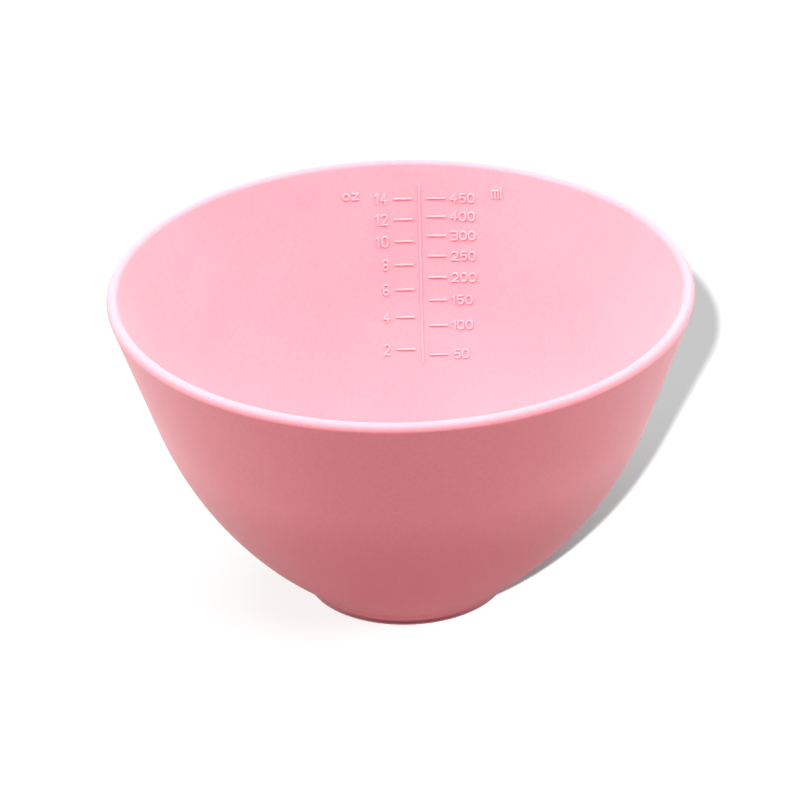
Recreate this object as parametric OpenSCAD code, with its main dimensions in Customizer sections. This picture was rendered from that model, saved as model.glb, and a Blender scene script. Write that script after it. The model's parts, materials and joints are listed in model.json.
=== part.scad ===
// Hair color mixing bowl: one soft moulding with a flared wall, a rounded rim,
// a ring foot and a raised measuring scale on the inside of the wall.
// The origin is on the rest face, on the bowl's axis; +Z points out of the mouth.
// The scale is on the +Y side and reads correctly from the -Y side.

/* [Bowl] */
// Radius of the bowl at the outside of the rim
brim_r = 67; // [62:0.5:72]
// Height from the rest face to the top of the rim
height = 76; // [74:0.5:84]
// Thickness of the wall, which is also the width of the rounded rim
wall_t = 2.8; // [2:0.1:3.4]
// Lean of the straight upper wall from the vertical, in degrees
flare = 19.3; // [16:0.1:22]
// Height at which the straight wall turns into the curved lower wall
turn_z = 47.5; // [44:0.5:50]
// Radius of the curved lower wall, on the outside
curve_r = 90; // [84:0.5:96]
// Radius of the blend between the inner wall and the floor
floor_blend_r = 8; // [4:0.5:14]

/* [Foot] */
// Height of the crease where the bowl meets the foot
foot_h = 3.75; // [3:0.25:6]
// Outer radius of the foot at the rest face
foot_r = 23; // [21:0.25:24]
// Width of the foot's rest face
foot_face_w = 3.4; // [2:0.1:5]
// Gap between the rest surface and the recessed underside
recess_h = 3; // [1:0.25:3.5]

/* [Measuring scale] */
// Distance of the scale's spine from the bowl's centre plane
spine_x = 4.95; // [-5:0.05:8]
// Lower end of the spine
spine_low = 31.3; // [25:0.1:35]
// Upper end of the spine
spine_high = 70.8; // [68:0.1:72]
// Height of the raised lines above the wall
relief_h = 0.3; // [0.2:0.05:0.6]
// Width of the spine and of the ticks
tick_w = 0.38; // [0.3:0.02:0.7]
// Length of one tick
tick_l = 4.45; // [3:0.1:6]
// Gap between the spine and the ticks
tick_gap = 1.7; // [0.5:0.05:2]
// Fill at the highest tick of both scales, in millilitres
top_fill = 455; // [430:1:470]
// Fill at the lowest tick of the ml scale, in millilitres
ml_low_fill = 119; // [80:1:150]
// Fill at the lowest tick of the oz scale, in millilitres
oz_low_fill = 128; // [80:1:150]

/* [Numerals] */
// Width of the lines that form the characters
line_w = 0.36; // [0.3:0.02:0.5]
// Width of a digit on the ml scale
ml_digit_w = 1.75; // [1.6:0.05:2.1]
// Height of a digit on the ml scale
ml_digit_h = 2.3; // [2.2:0.05:3]
// Gap between digits on the ml scale
ml_digit_gap = 0.3; // [0.1:0.05:0.6]
// Width of a digit on the oz scale
oz_digit_w = 1.55; // [1.4:0.05:1.8]
// Height of a digit on the oz scale
oz_digit_h = 2.75; // [2.4:0.05:3.2]
// Gap between digits on the oz scale
oz_digit_gap = 0.6; // [0.3:0.05:1]
// Width of the digit 1, with its flag
one_w = 0.75; // [0.7:0.05:1.2]
// Gap between the outer ends of the ml ticks and the ml numerals
ml_text_gap = 1.1; // [0.3:0.05:1.5]
// Gap between the outer ends of the oz ticks and the oz numerals
oz_text_gap = 1.45; // [0.3:0.05:2]
// Height of the unit marks' base line
unit_z = 67.7; // [64:0.1:69]
// Distance from the spine to the near edge of the ml mark
ml_unit_x = 17; // [15:0.1:18]
// Distance from the spine to the near edge of the oz mark
oz_unit_x = 14.25; // [12:0.25:16]

/* [Hidden] */
$fn = 180;

ml_labels = ["50", "100", "150", "200", "250", "300", "400", "450"];
oz_labels = ["2", "4", "6", "8", "10", "12", "14"];
shell_pink = [0.97, 0.66, 0.72];
relief_pink = [0.99, 0.78, 0.84];

// Section of the wall, as [radius, height] points: the wall's middle line runs straight down from the
// centre of the rounded rim, and then follows an arc.
rim_c = [brim_r - wall_t / 2, height - wall_t / 2];
straight_l = (rim_c.y - turn_z) / cos(flare);
turn = [rim_c.x - straight_l * sin(flare), turn_z];
curve_c = turn - (curve_r - wall_t / 2) * [cos(flare), -sin(flare)];

// Inner face of the wall
inner_curve_r = curve_r - wall_t;
inner_turn = curve_c + inner_curve_r * [cos(flare), -sin(flare)];

// The floor is a disc inside the crease, and its top meets the inner wall's curve above the crease.
crease_r = curve_c.x + sqrt(curve_r ^ 2 - (curve_c.y - foot_h) ^ 2);
floor_z = curve_c.y - sqrt(inner_curve_r ^ 2 - (crease_r - curve_c.x) ^ 2);

// Angles about the curve's centre at which the curved wall begins, and ends just past the crease
curve_top = -flare;
curve_end = atan2(foot_h - curve_c.y, crease_r - curve_c.x) - 1;

// Sizes that only have to reach past the shape that they cut
past = 1;
push_reach = 9;

// Radius of the inner face at height z
function inner_r(z) = z > inner_turn.y
    ? inner_turn.x + (z - inner_turn.y) * tan(flare)
    : curve_c.x + sqrt(inner_curve_r ^ 2 - (curve_c.y - z) ^ 2);

// Lean of the inner face from the vertical at height z
function lean(z) = z > inner_turn.y ? flare : asin((curve_c.y - z) / inner_curve_r);

// Volume in millilitres below height z, summed over thin discs
function fill(z, discs = 40) =
    let (disc_h = (z - floor_z) / discs)
    let (radii = [for (i = [0 : discs - 1]) inner_r(floor_z + (i + 0.5) * disc_h)])
    PI * disc_h * (radii * radii) / 1000;

// Height up to which the bowl holds a volume, found by halving the interval
function level(volume, low = floor_z, high = height) =
    let (middle = (low + high) / 2)
    high - low < 0.01 ? middle
    : fill(middle) < volume ? level(volume, middle, high)
    : level(volume, low, middle);

// Heights of a scale's ticks: equal steps of volume from low_fill to top_fill
function tick_levels(low_fill, labels) =
    [for (i = [0 : len(labels) - 1]) level(low_fill + (top_fill - low_fill) * i / (len(labels) - 1))];

function digit_w(digit, w) = digit == "1" ? one_w : w;

// Distance from a label's left edge to the left edge of its digit number i
function digit_x(label, i, w, gap) =
    i == 0 ? 0 : digit_x(label, i - 1, w, gap) + digit_w(label[i - 1], w) + gap;

function label_w(label, w, gap) = digit_x(label, len(label), w, gap) - gap;

// ---------- flat shapes ----------

// Pie slice from angle a to angle b, reaching past radius r
module slice(r, a, b, steps = 6) {
    rim = [for (i = [0 : steps]) 2 * r * [cos(a + (b - a) * i / steps), sin(a + (b - a) * i / steps)]];
    polygon(concat([[0, 0]], rim));
}

// Ring of middle radius r and width w
module ring(r, w) {
    difference() {
        circle(r + w / 2);
        circle(r - w / 2);
    }
}

// Part of that ring, from angle a to angle b
module ring_part(r, w, a, b) {
    intersection() {
        ring(r, w);
        slice(r + w / 2, a, b);
    }
}

// Straight line of a character, with round ends
module bar(from, to) {
    run = to - from;
    translate(from) rotate(atan2(run.y, run.x)) translate([0, -line_w / 2]) square([norm(run), line_w]);
    translate(from) circle(d = line_w);
    translate(to) circle(d = line_w);
}

// Curved line of a character, with round ends
module bow(centre, r, a, b) {
    translate(centre) {
        ring_part(r, line_w, a, b);
        for (end = [a, b]) rotate(end) translate([r, 0]) circle(d = line_w);
    }
}

// One digit in a box of width w and height h that is centred on the base point
module digit(character, w, h) {
    x = (w - line_w) / 2;
    y = (h - line_w) / 2;
    if (character == "0") {
        bow([0, y - x], x, 0, 180);
        bow([0, x - y], x, 180, 360);
        for (side = [-x, x]) bar([side, x - y], [side, y - x]);
    }
    if (character == "1") {
        stem_x = (one_w - line_w) / 2;
        bar([stem_x, -y], [stem_x, y]);
        bar([stem_x, y], [-stem_x, y - 2 * stem_x]);
    }
    if (character == "2") {
        // The diagonal is the tangent from the lower left corner to the upper bow.
        corner = [-x, -y];
        bow_c = [0, y - x];
        reach = corner - bow_c;
        a = atan2(reach.y, reach.x) + acos(x / norm(reach));
        bow(bow_c, x, a, 160);
        bar(corner, bow_c + x * [cos(a), sin(a)]);
        bar(corner, [x, -y]);
    }
    if (character == "3") {
        r = y / 2;
        for (side = [-1, 1]) {
            bow([x - r, side * r], r, -90, 90);
            bar([side * y / 10 - x / 3, 0], [x - r, 0]);
            bar([-x, side * y], [x - r, side * y]);
        }
    }
    if (character == "4") {
        cross_y = -0.3 * y;
        stem_x = 0.4 * x;
        bar([stem_x, -y], [stem_x, y]);
        bar([stem_x, y], [-x, cross_y]);
        bar([-x, cross_y], [x, cross_y]);
    }
    if (character == "5") {
        r = 0.62 * y;
        bar([x * 0.8, y], [-x * 0.7, y]);
        bar([-x * 0.7, y], [-x * 0.8, 0]);
        bow([x - r, r - y], r, -140, 140);
    }
    if (character == "6") {
        bow([0, x - y], x, 180, 360);
        bow([0, x - y], x, 0, 180);
        bar([-x, x - y], [-x, y - x]);
        bow([0, y - x], x, 60, 180);
    }
    if (character == "8") {
        for (side = [-1, 1]) translate([0, side * y / 2]) ring(y / 2, line_w);
    }
}

// A row of digits whose left edge is at x = 0, centred on y = 0
module label(characters, w, h, gap) {
    for (i = [0 : len(characters) - 1]) {
        middle = digit_x(characters, i, w, gap) + digit_w(characters[i], w) / 2;
        translate([middle, 0]) digit(characters[i], w, h);
    }
}

// Sections of layers that follow the wall's inner face. Layers are measured towards the bowl's axis,
// so one from a = -wall_t to b = 0 is the wall itself.
module straight_layer(a, b) {
    translate(inner_turn) rotate(-flare) translate([-b, 0]) square([b - a, straight_l]);
}

module curved_layer(a, b) {
    translate(curve_c) ring_part(inner_curve_r - (a + b) / 2, b - a, curve_end, curve_top);
}

// ---------- parts ----------

module rim_lip() {
    color(shell_pink) rotate_extrude() translate(rim_c) rotate(-flare) intersection() {
        circle(d = wall_t);
        translate([-wall_t, 0]) square([2 * wall_t, wall_t]);
    }
}

module flared_wall() {
    color(shell_pink) rotate_extrude() straight_layer(-wall_t, 0);
}

// The curved wall ends on the floor's edge and on the crease above the foot.
module curved_wall() {
    color(shell_pink) rotate_extrude() difference() {
        curved_layer(-wall_t, 0);
        square([crease_r, height]);
        translate([0, -height]) square([brim_r, height + foot_h]);
    }
}

module bowl_floor() {
    // Centre of the blend's arc, which touches the floor and the inner curve
    blend_c = [
        curve_c.x + sqrt((inner_curve_r - floor_blend_r) ^ 2 - (curve_c.y - floor_z - floor_blend_r) ^ 2),
        floor_z + floor_blend_r
    ];
    touch = curve_c + (blend_c - curve_c) * inner_curve_r / (inner_curve_r - floor_blend_r);
    color(shell_pink) rotate_extrude() {
        translate([0, foot_h]) square([crease_r, floor_z - foot_h]);
        difference() {
            intersection() {
                translate(curve_c) circle(inner_curve_r);
                polygon([
                    [blend_c.x, floor_z],
                    [touch.x + past, floor_z],
                    [touch.x + past, touch.y],
                    touch,
                    blend_c
                ]);
            }
            translate(blend_c) circle(floor_blend_r);
        }
    }
}

module foot_ring() {
    color(shell_pink) rotate_extrude() polygon([
        [foot_r - foot_face_w, 0],
        [foot_r, 0],
        [crease_r, foot_h],
        [0, foot_h],
        [0, recess_h],
        [foot_r - foot_face_w, recess_h]
    ]);
}

// Keeps what the children share with the thin layer on the wall's inner face
module relief() {
    color(relief_pink) {
        intersection() {
            union() children();
            rotate_extrude() straight_layer(0, relief_h);
        }
        intersection() {
            union() children();
            rotate_extrude() curved_layer(0, relief_h);
        }
    }
}

// Pushes flat children out of the wall at height z, square to the wall. Their x = 0 is the spine.
module on_wall(z) {
    translate([spine_x, inner_r(z), z]) rotate([90 - lean(z), 0, 0]) translate([0, 0, -past])
        linear_extrude(push_reach) children();
}

module ticks(levels, x) {
    for (z = levels) relief() on_wall(z) translate([x, -tick_w / 2]) square([tick_l, tick_w]);
}

module scale_spine() {
    relief() translate([spine_x - tick_w / 2, 0, spine_low]) cube([tick_w, brim_r, spine_high - spine_low]);
}

module ml_ticks() {
    ticks(tick_levels(ml_low_fill, ml_labels), tick_gap);
}

module oz_ticks() {
    ticks(tick_levels(oz_low_fill, oz_labels), -tick_gap - tick_l);
}

module ml_numerals() {
    levels = tick_levels(ml_low_fill, ml_labels);
    for (i = [0 : len(levels) - 1]) relief() on_wall(levels[i])
        translate([tick_gap + tick_l + ml_text_gap, 0])
            label(ml_labels[i], ml_digit_w, ml_digit_h, ml_digit_gap);
}

module oz_numerals() {
    levels = tick_levels(oz_low_fill, oz_labels);
    for (i = [0 : len(levels) - 1]) relief() on_wall(levels[i])
        translate([-tick_gap - tick_l - oz_text_gap - label_w(oz_labels[i], oz_digit_w, oz_digit_gap), 0])
            label(oz_labels[i], oz_digit_w, oz_digit_h, oz_digit_gap);
}

module ml_unit_mark() {
    arch_r = 0.38;
    stem_h = 1.4;
    l_x = 4 * arch_r + 0.6;
    l_h = 2.2;
    relief() on_wall(unit_z) translate([ml_unit_x + line_w / 2, 0]) {
        for (i = [0 : 2]) bar([2 * arch_r * i, 0], [2 * arch_r * i, stem_h]);
        for (i = [0 : 1]) bow([arch_r * (2 * i + 1), stem_h], arch_r, 0, 180);
        bar([l_x, 0], [l_x, l_h]);
    }
}

module oz_unit_mark() {
    letter_w = 1.75;
    letter_gap = 0.45;
    r = (letter_w - line_w) / 2;
    relief() on_wall(unit_z) translate([-oz_unit_x - r - line_w / 2, r]) {
        // The z, with the o to its left
        for (side = [-1, 1]) bar([-r, side * r], [r, side * r]);
        bar([-r, -r], [r, r]);
        translate([-letter_w - letter_gap, 0]) ring(r, line_w);
    }
}

rim_lip();
flared_wall();
curved_wall();
bowl_floor();
foot_ring();
scale_spine();
ml_ticks();
ml_numerals();
ml_unit_mark();
oz_ticks();
oz_numerals();
oz_unit_mark();
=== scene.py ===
import json
import math

import bpy
import numpy as np
from mathutils import Matrix, Vector

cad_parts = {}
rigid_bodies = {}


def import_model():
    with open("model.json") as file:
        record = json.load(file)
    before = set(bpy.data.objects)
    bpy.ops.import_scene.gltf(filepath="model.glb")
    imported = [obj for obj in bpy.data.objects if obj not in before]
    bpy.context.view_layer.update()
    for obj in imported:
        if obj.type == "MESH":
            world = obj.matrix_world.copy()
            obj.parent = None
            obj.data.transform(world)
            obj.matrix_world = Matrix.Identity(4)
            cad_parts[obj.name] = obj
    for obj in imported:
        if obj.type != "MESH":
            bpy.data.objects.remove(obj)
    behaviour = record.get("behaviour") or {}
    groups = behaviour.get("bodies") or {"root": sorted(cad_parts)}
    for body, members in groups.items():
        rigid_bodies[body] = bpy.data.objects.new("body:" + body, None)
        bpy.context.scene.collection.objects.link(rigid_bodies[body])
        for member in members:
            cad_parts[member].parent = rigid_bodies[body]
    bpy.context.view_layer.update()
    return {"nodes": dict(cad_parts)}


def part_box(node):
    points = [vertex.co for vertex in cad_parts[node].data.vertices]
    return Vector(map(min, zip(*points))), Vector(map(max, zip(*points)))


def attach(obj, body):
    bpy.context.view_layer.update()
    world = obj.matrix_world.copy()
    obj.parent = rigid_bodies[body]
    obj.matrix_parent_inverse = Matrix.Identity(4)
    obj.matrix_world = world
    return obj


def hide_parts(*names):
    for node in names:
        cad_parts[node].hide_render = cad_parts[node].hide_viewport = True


for leftover in list(bpy.data.objects):
    bpy.data.objects.remove(leftover)

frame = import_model()

MM = 0.001

# ---------- the bowl's section ----------
# Sizes that the frame doesn't give, in metres. They are the driving dimensions of the CAD source.
WALL = 2.8 * MM
FLARE = math.radians(19.3)
TURN_Z = 47.5 * MM
CURVE_R = 90.0 * MM
FLOOR_BLEND_R = 8.0 * MM
FOOT_R = 23.0 * MM
FOOT_FACE = 3.4 * MM
RECESS = 3.0 * MM

# Small radii of the moulded edges
CREASE_FILLET = 0.4 * MM
FOOT_EDGE = 0.35 * MM
RECESS_FILLET = 1.2 * MM

rim_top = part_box("rim_lip")[1]
BRIM_R = min(rim_top.x, rim_top.y)
HEIGHT = rim_top.z
CREASE_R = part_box("foot_ring")[1].x
FOOT_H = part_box("foot_ring")[1].z


def polar(centre, radius, angle):
    return centre + radius * np.array([math.cos(angle), math.sin(angle)])


def arc(centre, radius, start, end, steps):
    """Points on an arc, with both ends."""
    return [polar(centre, radius, a) for a in np.linspace(start, end, steps + 1)]


def direction(vector):
    return math.atan2(vector[1], vector[0])


RIM_C = np.array([BRIM_R - WALL / 2, HEIGHT - WALL / 2])
TURN = RIM_C - (RIM_C[1] - TURN_Z) * np.array([math.tan(FLARE), 1.0])
CURVE_C = polar(TURN, CURVE_R - WALL / 2, math.pi - FLARE)
INNER_R = CURVE_R - WALL
INNER_TURN = polar(CURVE_C, INNER_R, -FLARE)
# The floor's top meets the inner curve above the crease.
FLOOR_Z = CURVE_C[1] - math.sqrt(INNER_R ** 2 - (CREASE_R - CURVE_C[0]) ** 2)


def inner_radius(z):
    """Radius of the inner face at height z, for arrays."""
    straight = INNER_TURN[0] + (z - INNER_TURN[1]) * math.tan(FLARE)
    drop = np.clip(CURVE_C[1] - z, 0, INNER_R)
    curved = CURVE_C[0] + np.sqrt(INNER_R ** 2 - drop ** 2)
    return np.where(z > INNER_TURN[1], straight, curved)


# ---------- meshes ----------

RING_STEPS = 384
STRAIGHT_STEP = 1.0 * MM


def straight(start, end):
    """Points between two ends, without the ends."""
    steps = max(int(np.linalg.norm(end - start) / STRAIGHT_STEP), 1)
    return [start + (end - start) * i / steps for i in range(1, steps)]


def fillet(before, corner, after, radius, steps=8):
    """Arc that rounds a corner between two straight sides."""
    to_before = (before - corner) / np.linalg.norm(before - corner)
    to_after = (after - corner) / np.linalg.norm(after - corner)
    half = math.acos(float(to_before @ to_after)) / 2
    middle = to_before + to_after
    centre = corner + middle / np.linalg.norm(middle) * radius / math.sin(half)
    first = corner + to_before * radius / math.tan(half)
    last = corner + to_after * radius / math.tan(half)
    start = direction(first - centre)
    sweep = (direction(last - centre) - start + math.pi) % (2 * math.pi) - math.pi
    return arc(centre, radius, start, start + sweep, steps)


def inner_section():
    """From the floor's centre up the inside to the rim."""
    blend_c = np.array([0.0, FLOOR_Z + FLOOR_BLEND_R])
    reach = INNER_R - FLOOR_BLEND_R
    blend_c[0] = CURVE_C[0] + math.sqrt(reach ** 2 - (CURVE_C[1] - blend_c[1]) ** 2)
    floor_edge = np.array([blend_c[0], FLOOR_Z])
    touch = direction(blend_c - CURVE_C)
    floor_centre = np.array([0.0, FLOOR_Z])
    return (
        [floor_centre] + straight(floor_centre, floor_edge)
        + arc(blend_c, FLOOR_BLEND_R, -math.pi / 2, touch, 10)
        + arc(CURVE_C, INNER_R, touch, -FLARE, 60)[1:]
    )


def outer_section():
    """From the rim down the outside to the foot, and under it to the axis."""
    crease = np.array([CREASE_R, FOOT_H])
    crease_angle = direction(crease - CURVE_C)
    # The fillet's straight sides are the last stretch of the curve and the foot's slope.
    near = polar(CURVE_C, CURVE_R, crease_angle + 1.5 * MM / CURVE_R)
    foot_low = np.array([FOOT_R, 0.0])
    face_in = np.array([FOOT_R - FOOT_FACE, 0.0])
    recess_corner = np.array([FOOT_R - FOOT_FACE, RECESS])
    recess_centre = np.array([0.0, RECESS])
    corners = [near, crease, foot_low, face_in, recess_corner, recess_centre]
    radii = [CREASE_FILLET, FOOT_EDGE, FOOT_EDGE, RECESS_FILLET]
    points = arc(CURVE_C, CURVE_R, -FLARE, direction(near - CURVE_C), 60)
    for before, corner, after, radius in zip(corners, corners[1:], corners[2:], radii):
        rounded = fillet(before, corner, after, radius)
        points += straight(points[-1], rounded[0]) + rounded
    return points + straight(points[-1], recess_centre) + [recess_centre]


def bowl_section():
    lip = arc(RIM_C, WALL / 2, math.pi - FLARE, -FLARE, 28)
    inner, outer = inner_section(), outer_section()
    return inner + straight(inner[-1], lip[0]) + lip + straight(lip[-1], outer[0]) + outer


def revolve(name, section):
    """Closed surface of revolution of a section that starts and ends on the axis."""
    angles = np.arange(RING_STEPS) * 2 * math.pi / RING_STEPS
    circle = np.stack([np.cos(angles), np.sin(angles)], axis=1)
    inside = section[1:-1]
    rings = [np.column_stack([circle * r, np.full(RING_STEPS, z)]) for r, z in inside]
    poles = [[0.0, 0.0, section[0][1]], [0.0, 0.0, section[-1][1]]]
    vertices = np.vstack(rings + [poles])
    first_pole = len(vertices) - 2
    step = np.arange(RING_STEPS)
    turn = (step + 1) % RING_STEPS
    faces = []
    for ring in range(len(inside) - 1):
        low = ring * RING_STEPS
        high = low + RING_STEPS
        faces += np.column_stack([low + step, low + turn, high + turn, high + step]).tolist()
    last = (len(inside) - 1) * RING_STEPS
    faces += np.column_stack([turn, step, np.full(RING_STEPS, first_pole)]).tolist()
    faces += np.column_stack([last + step, last + turn, np.full(RING_STEPS, first_pole + 1)]).tolist()
    mesh = bpy.data.meshes.new(name)
    mesh.from_pydata(vertices.tolist(), [], faces)
    return add_piece(name, mesh)


def add_piece(name, mesh):
    mesh.validate()
    mesh.polygons.foreach_set("use_smooth", [True] * len(mesh.polygons))
    piece = bpy.data.objects.new(name, mesh)
    bpy.context.scene.collection.objects.link(piece)
    return piece


# ---------- raised scale ----------

RELIEF_SINK = 0.2 * MM
RELIEF_VOXEL = 0.05
# Rounds of smoothing
SOFTENING = 6
MM_PER_M = 1000


def coordinates(mesh):
    co = np.empty(len(mesh.vertices) * 3)
    mesh.vertices.foreach_get("co", co)
    return co.reshape(-1, 3)


def soft_relief(name, node):
    """A copy of a CAD relief node with its back sunk in the wall and its edges rounded, as moulded."""
    mesh = frame["nodes"][node].data.copy()
    co = coordinates(mesh)
    radius = np.hypot(co[:, 0], co[:, 1])
    on_wall = radius > inner_radius(co[:, 2]) - 0.1 * MM
    push = 1 + RELIEF_SINK * on_wall / radius
    co[:, :2] *= push[:, None]
    # The remesh works in millimetres, because it has a smallest voxel.
    mesh.vertices.foreach_set("co", (co * MM_PER_M).ravel())
    mesh.materials.clear()
    piece = add_piece(name, mesh)
    remesh = piece.modifiers.new("voxels", "REMESH")
    remesh.mode = "VOXEL"
    remesh.voxel_size = RELIEF_VOXEL
    smooth = piece.modifiers.new("soft_edges", "SMOOTH")
    smooth.factor = 0.5
    smooth.iterations = SOFTENING
    evaluated = piece.evaluated_get(bpy.context.evaluated_depsgraph_get())
    soft = bpy.data.meshes.new_from_object(evaluated)
    soft.transform(Matrix.Scale(1 / MM_PER_M, 4))
    soft.name = name
    piece.modifiers.clear()
    piece.data = soft
    soft.polygons.foreach_set("use_smooth", [True] * len(soft.polygons))
    return piece


# ---------- materials ----------

class Nodes:
    """Short way to write a node tree."""

    def __init__(self, material):
        material.use_nodes = True
        self.tree = material.node_tree
        self.tree.nodes.clear()

    def add(self, kind, inputs=None, **settings):
        made = self.tree.nodes.new(kind)
        for key, value in settings.items():
            setattr(made, key, value)
        for key, value in (inputs or {}).items():
            if isinstance(value, bpy.types.NodeSocket):
                self.tree.links.new(value, made.inputs[key])
            else:
                made.inputs[key].default_value = value
        return made

    def noise(self, place, size, detail):
        """Noise whose blobs are about size metres across."""
        return self.add("ShaderNodeTexNoise", {
            "Vector": place, "Scale": 1 / size, "Detail": detail, "Roughness": 0.5,
        }).outputs[0]

    def remap(self, value, low, high, to_low, to_high):
        return self.add("ShaderNodeMapRange", {
            "Value": value, "From Min": low, "From Max": high, "To Min": to_low, "To Max": to_high,
        }).outputs[0]

    def mix(self, factor, a, b):
        made = self.add("ShaderNodeMix", data_type="RGBA")
        for socket, value in ((made.inputs[0], factor), (made.inputs[6], a), (made.inputs[7], b)):
            if isinstance(value, bpy.types.NodeSocket):
                self.tree.links.new(value, socket)
            else:
                socket.default_value = value
        return made.outputs[2]

    def maths(self, operation, a, b):
        return self.add("ShaderNodeMath", {0: a, 1: b}, operation=operation).outputs[0]


# Colours of the silicone and of its specks. The raised marks' pink is lighter than the wall's as a
# painted highlight: the marks are the same silicone, and the lighter tone stands in for the light their
# tops catch.
PINK = (0.73, 0.205, 0.242, 1.0)
PINK_PALE = (0.75, 0.222, 0.262, 1.0)
RELIEF_PAINTED_HIGHLIGHT_PINK = (0.86, 0.255, 0.30, 1.0)
RELIEF_PAINTED_HIGHLIGHT_PINK_PALE = (0.88, 0.275, 0.32, 1.0)
SPECK_RED = (0.35, 0.03, 0.05, 1.0)
# Sizes of the blobs in the surface, and how far its two fine layers stand up
CLOUD_SIZE = 22 * MM
MOTTLE_SIZE = 0.9 * MM
GRAIN_SIZE = 0.28 * MM
MOTTLE_HEIGHT = 0.012 * MM
GRAIN_HEIGHT = 0.010 * MM
# A fifth of the cells, this far apart, holds one speck each
SPECK_SPACING = 14 * MM
SPECK_SHARE = 0.2
SPECK_EDGE = 0.05 * MM
# Share of the light that the floor returns to the camera, and to everything else
FLOOR_SEEN = 0.25
FLOOR_BOUNCE = 0.04


def silicone(name, tone, tone_shift, scatter, speck_size):
    """Fine matte silicone rubber: cloudy colour, sand-blasted grain and rare specks. Light wanders
    scatter metres under its surface, and 0 leaves this out."""
    material = bpy.data.materials.new(name)
    n = Nodes(material)
    place = n.add("ShaderNodeTexCoord").outputs["Object"]
    cloud = n.noise(place, CLOUD_SIZE, 3.0)
    mottle = n.noise(place, MOTTLE_SIZE, 2.0)
    grain = n.noise(place, GRAIN_SIZE, 1.0)
    tint = n.mix(n.remap(cloud, 0.3, 0.7, 0.0, 1.0), tone, tone_shift)
    fleck = n.remap(mottle, 0.3, 0.7, 0.97, 1.03)
    tint = n.add("ShaderNodeVectorMath", {0: tint, "Scale": fleck}, operation="SCALE").outputs[0]
    if speck_size:
        cell = n.add("ShaderNodeTexVoronoi", {"Vector": place, "Scale": 1 / SPECK_SPACING})
        pick = n.add("ShaderNodeSeparateColor", {0: cell.outputs["Color"]})
        chosen = n.remap(pick.outputs[0], 1 - SPECK_SHARE, 1.01 - SPECK_SHARE, 0.0, 1.0)
        radius = n.remap(pick.outputs[1], 0.0, 1.0, 0.3 * speck_size, speck_size)
        distance = n.maths("MULTIPLY", cell.outputs["Distance"], SPECK_SPACING)
        spot = n.remap(n.maths("SUBTRACT", radius, distance), 0.0, SPECK_EDGE, 0.0, 1.0)
        tint = n.mix(n.maths("MULTIPLY", spot, chosen), tint, SPECK_RED)
    fine = n.maths("MULTIPLY", grain, GRAIN_HEIGHT)
    coarse = n.maths("MULTIPLY", mottle, MOTTLE_HEIGHT)
    height = n.maths("ADD", fine, coarse)
    bump = n.add("ShaderNodeBump", {"Strength": 1.0, "Distance": 1.0, "Height": height}).outputs[0]
    shader = n.add("ShaderNodeBsdfPrincipled", {
        "Base Color": tint,
        "Roughness": n.remap(cloud, 0.3, 0.7, 0.58, 0.66),
        "IOR": 1.43,
        "Specular IOR Level": 0.2,
        "Subsurface Weight": 0.35 if scatter else 0.0,
        "Subsurface Radius": (1.0, 0.7, 0.7),
        "Subsurface Scale": scatter or MM,
        "Sheen Weight": 0.28,
        "Sheen Roughness": 0.6,
        "Sheen Tint": (1.0, 0.93, 0.93, 1.0),
        "Normal": bump,
    })
    n.add("ShaderNodeOutputMaterial", {"Surface": shader.outputs[0]})
    material.diffuse_color = tone
    return material


def floor_material():
    """Pale matte floor that is only seen from above. It throws less light on the bowl than it shows."""
    material = bpy.data.materials.new("studio_floor")
    n = Nodes(material)
    camera_ray = n.add("ShaderNodeLightPath").outputs["Is Camera Ray"]
    tone = n.remap(camera_ray, 0.0, 1.0, FLOOR_BOUNCE, FLOOR_SEEN)
    matte = n.add("ShaderNodeBsdfDiffuse", {"Color": tone}).outputs[0]
    clear = n.add("ShaderNodeBsdfTransparent").outputs[0]
    below = n.add("ShaderNodeNewGeometry").outputs["Backfacing"]
    both = n.add("ShaderNodeMixShader", {0: below, 1: matte, 2: clear}).outputs[0]
    n.add("ShaderNodeOutputMaterial", {"Surface": both})
    return material


# ---------- the object ----------

skin = revolve("silicone_bowl", bowl_section())
skin.data.materials.append(silicone("pink_silicone", PINK, PINK_PALE, 0.3 * MM, 0.22 * MM))
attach(skin, "root")
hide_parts("rim_lip", "flared_wall", "curved_wall", "bowl_floor", "foot_ring")

bowl_pieces = [skin]
# Painted highlight: the raised marks get a lighter pink than the wall for the light their tops catch,
# and no light scatters under their surface.
relief_silicone_painted_highlight = silicone("pink_silicone_relief_painted_highlight", RELIEF_PAINTED_HIGHLIGHT_PINK, RELIEF_PAINTED_HIGHLIGHT_PINK_PALE, 0, 0)
for cad_node in ("scale_spine", "ml_ticks", "ml_numerals", "ml_unit_mark", "oz_ticks", "oz_numerals",
                 "oz_unit_mark"):
    raised = soft_relief("raised_" + cad_node, cad_node)
    raised.data.materials.append(relief_silicone_painted_highlight)
    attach(raised, "root")
    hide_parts(cad_node)
    bowl_pieces.append(raised)


# ---------- studio ----------

LAMP_DISTANCE = 1.25
GLOW_CARD_RADII = (24.0 * MM, 25.1 * MM)
GLOW_CARD_Z = -0.5 * MM
# Colours of the lamps
NEUTRAL = (1.0, 1.0, 1.0)
COOL = (0.9, 1.0, 1.0)
WARM = (1.0, 0.76, 0.74)

# Soft boxes: name, azimuth and elevation in degrees, width and height in metres, power in watts
BOWL_BOXES = (
    ("left_box", -92, 42, 1.4, 0.4, 21.5),
    ("left_high_box", -48, 64, 1.0, 0.4, 18.5),
    ("right_box", 92, 38, 1.4, 0.4, 12.3),
    ("right_high_box", 52, 63, 1.0, 0.4, 23.0),
)
FLOOR_BOXES = (
    ("floor_box", 180, 80, 1.6, 1.6, 32.0),
    ("floor_side_box", 75, 25, 1.0, 0.5, 32.0),
)


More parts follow.
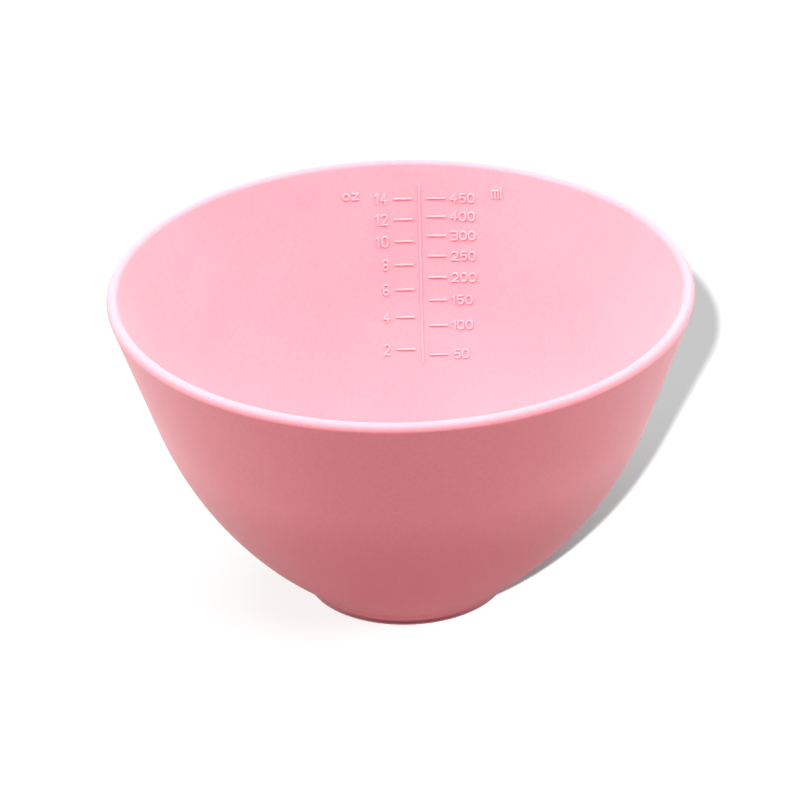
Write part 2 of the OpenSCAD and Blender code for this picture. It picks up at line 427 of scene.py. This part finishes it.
def add_floor():
    half = 3.0
    mesh = bpy.data.meshes.new("studio_floor")
    corners = [(-half, -half, 0), (half, -half, 0), (half, half, 0), (-half, half, 0)]
    mesh.from_pydata(corners, [], [(0, 1, 2, 3)])
    floor = add_piece("studio_floor", mesh)
    mesh.materials.append(floor_material())
    return floor


def add_glow_card():
    """Ring just below the floor that keeps the table's glow off the foot's side, as the bowl's own
    shadow does. Nothing but shadow rays see it."""
    steps = 64
    angles = np.arange(steps) * 2 * math.pi / steps
    rim = [polar(np.zeros(2), radius, a) for radius in GLOW_CARD_RADII for a in angles]
    faces = [(i, (i + 1) % steps, steps + (i + 1) % steps, steps + i) for i in range(steps)]
    mesh = bpy.data.meshes.new("glow_card")
    mesh.from_pydata([(x, y, GLOW_CARD_Z) for x, y in rim], [], faces)
    card = add_piece("glow_card", mesh)
    card.visible_camera = False
    card.visible_diffuse = False
    card.visible_glossy = False
    card.visible_transmission = False
    return card


def aimed_lamp(name, kind, azimuth, elevation, lit):
    """Light that comes from a direction, seen from the bowl: azimuth turns to the right of the camera.
    It lights only the collection lit."""
    azimuth, elevation = math.radians(azimuth), math.radians(elevation)
    toward = Vector((
        math.sin(azimuth) * math.cos(elevation),
        -math.cos(azimuth) * math.cos(elevation),
        math.sin(elevation),
    ))
    lamp = bpy.data.lights.new(name, kind)
    holder = bpy.data.objects.new(name, lamp)
    bpy.context.scene.collection.objects.link(holder)
    holder.location = toward * LAMP_DISTANCE
    holder.rotation_euler = toward.to_track_quat("Z", "Y").to_euler()
    holder.light_linking.receiver_collection = lit
    return holder


def soft_box(name, azimuth, elevation, width, height, power, lit, color=NEUTRAL):
    holder = aimed_lamp(name, "AREA", azimuth, elevation, lit)
    holder.data.shape = "RECTANGLE"
    holder.data.size, holder.data.size_y = width, height
    holder.data.energy = power
    holder.data.color = color
    return holder


def sun(name, azimuth, elevation, softness, strength, lit):
    holder = aimed_lamp(name, "SUN", azimuth, elevation, lit)
    holder.data.angle = math.radians(softness)
    holder.data.energy = strength


def light_group(name, pieces):
    group = bpy.data.collections.new(name)
    for piece in pieces:
        group.objects.link(piece)
    return group


def set_world(seen, lit):
    """The camera sees the brighter value, and everything else is lit by the other."""
    world = bpy.data.worlds.new("studio")
    world.use_nodes = True
    bpy.context.scene.world = world
    tree = world.node_tree
    path = tree.nodes.new("ShaderNodeLightPath")
    strength = tree.nodes.new("ShaderNodeMapRange")
    strength.inputs["To Min"].default_value = lit
    strength.inputs["To Max"].default_value = seen
    tree.links.new(path.outputs["Is Camera Ray"], strength.inputs["Value"])
    tree.links.new(strength.outputs[0], tree.nodes["Background"].inputs["Strength"])
    tree.nodes["Background"].inputs["Color"].default_value = (1.0, 1.0, 1.0, 1.0)


# The camera stands far back with a long lens and looks down at the rim's centre; the picture's
# centre lies below that point.
CAMERA_DISTANCE = 20 * BRIM_R
CAMERA_ELEVATION = math.radians(27.23)
CAMERA_ROLL = math.radians(1.34)
LENS = 264.7
AIM_BELOW_RIM = 24.75 * MM
AIM_SIDEWAYS = -0.1 * MM


def add_camera():
    data = bpy.data.cameras.new("camera")
    data.lens = LENS
    data.clip_start, data.clip_end = 0.05, 20.0
    camera = bpy.data.objects.new("camera", data)
    bpy.context.scene.collection.objects.link(camera)
    rim_centre = Vector((0, 0, RIM_C[1]))
    back = Vector((0, -math.cos(CAMERA_ELEVATION), math.sin(CAMERA_ELEVATION)))
    camera.location = rim_centre + back * CAMERA_DISTANCE
    right = Vector((1, 0, 0))
    up = back.cross(right)
    tilted_right = right * math.cos(CAMERA_ROLL) - up * math.sin(CAMERA_ROLL)
    tilted_up = right * math.sin(CAMERA_ROLL) + up * math.cos(CAMERA_ROLL)
    aim = rim_centre - tilted_up * AIM_BELOW_RIM + tilted_right * AIM_SIDEWAYS
    away = (camera.location - aim).normalized()
    side = tilted_up.cross(away).normalized()
    turned = Matrix((side, away.cross(side), away)).transposed()
    camera.rotation_euler = turned.to_euler()
    bpy.context.scene.camera = camera


# The bowl and the floor have lights of their own, as in a picture whose background is blown out.
floor = add_floor()
bowl_lit = light_group("bowl_lit", bowl_pieces)
floor_lit = light_group("floor_lit", [floor])
for box in BOWL_BOXES:
    soft_box(*box, bowl_lit, COOL)
for box in FLOOR_BOXES:
    soft_box(*box, floor_lit)
sun("floor_sun", -6.3, 30.4, 1.5, 21.0, floor_lit)
# Light thrown up by the table in front of the bowl, which the floor doesn't block
glow = soft_box("table_glow", 0, -58, 1.6, 0.5, 11.3, bowl_lit, WARM)
blockers = light_group("glow_blockers", bowl_pieces + [add_glow_card()])
glow.light_linking.blocker_collection = blockers
set_world(1.0, 0.12)
add_camera()
bpy.context.scene.view_settings.view_transform = "Standard"
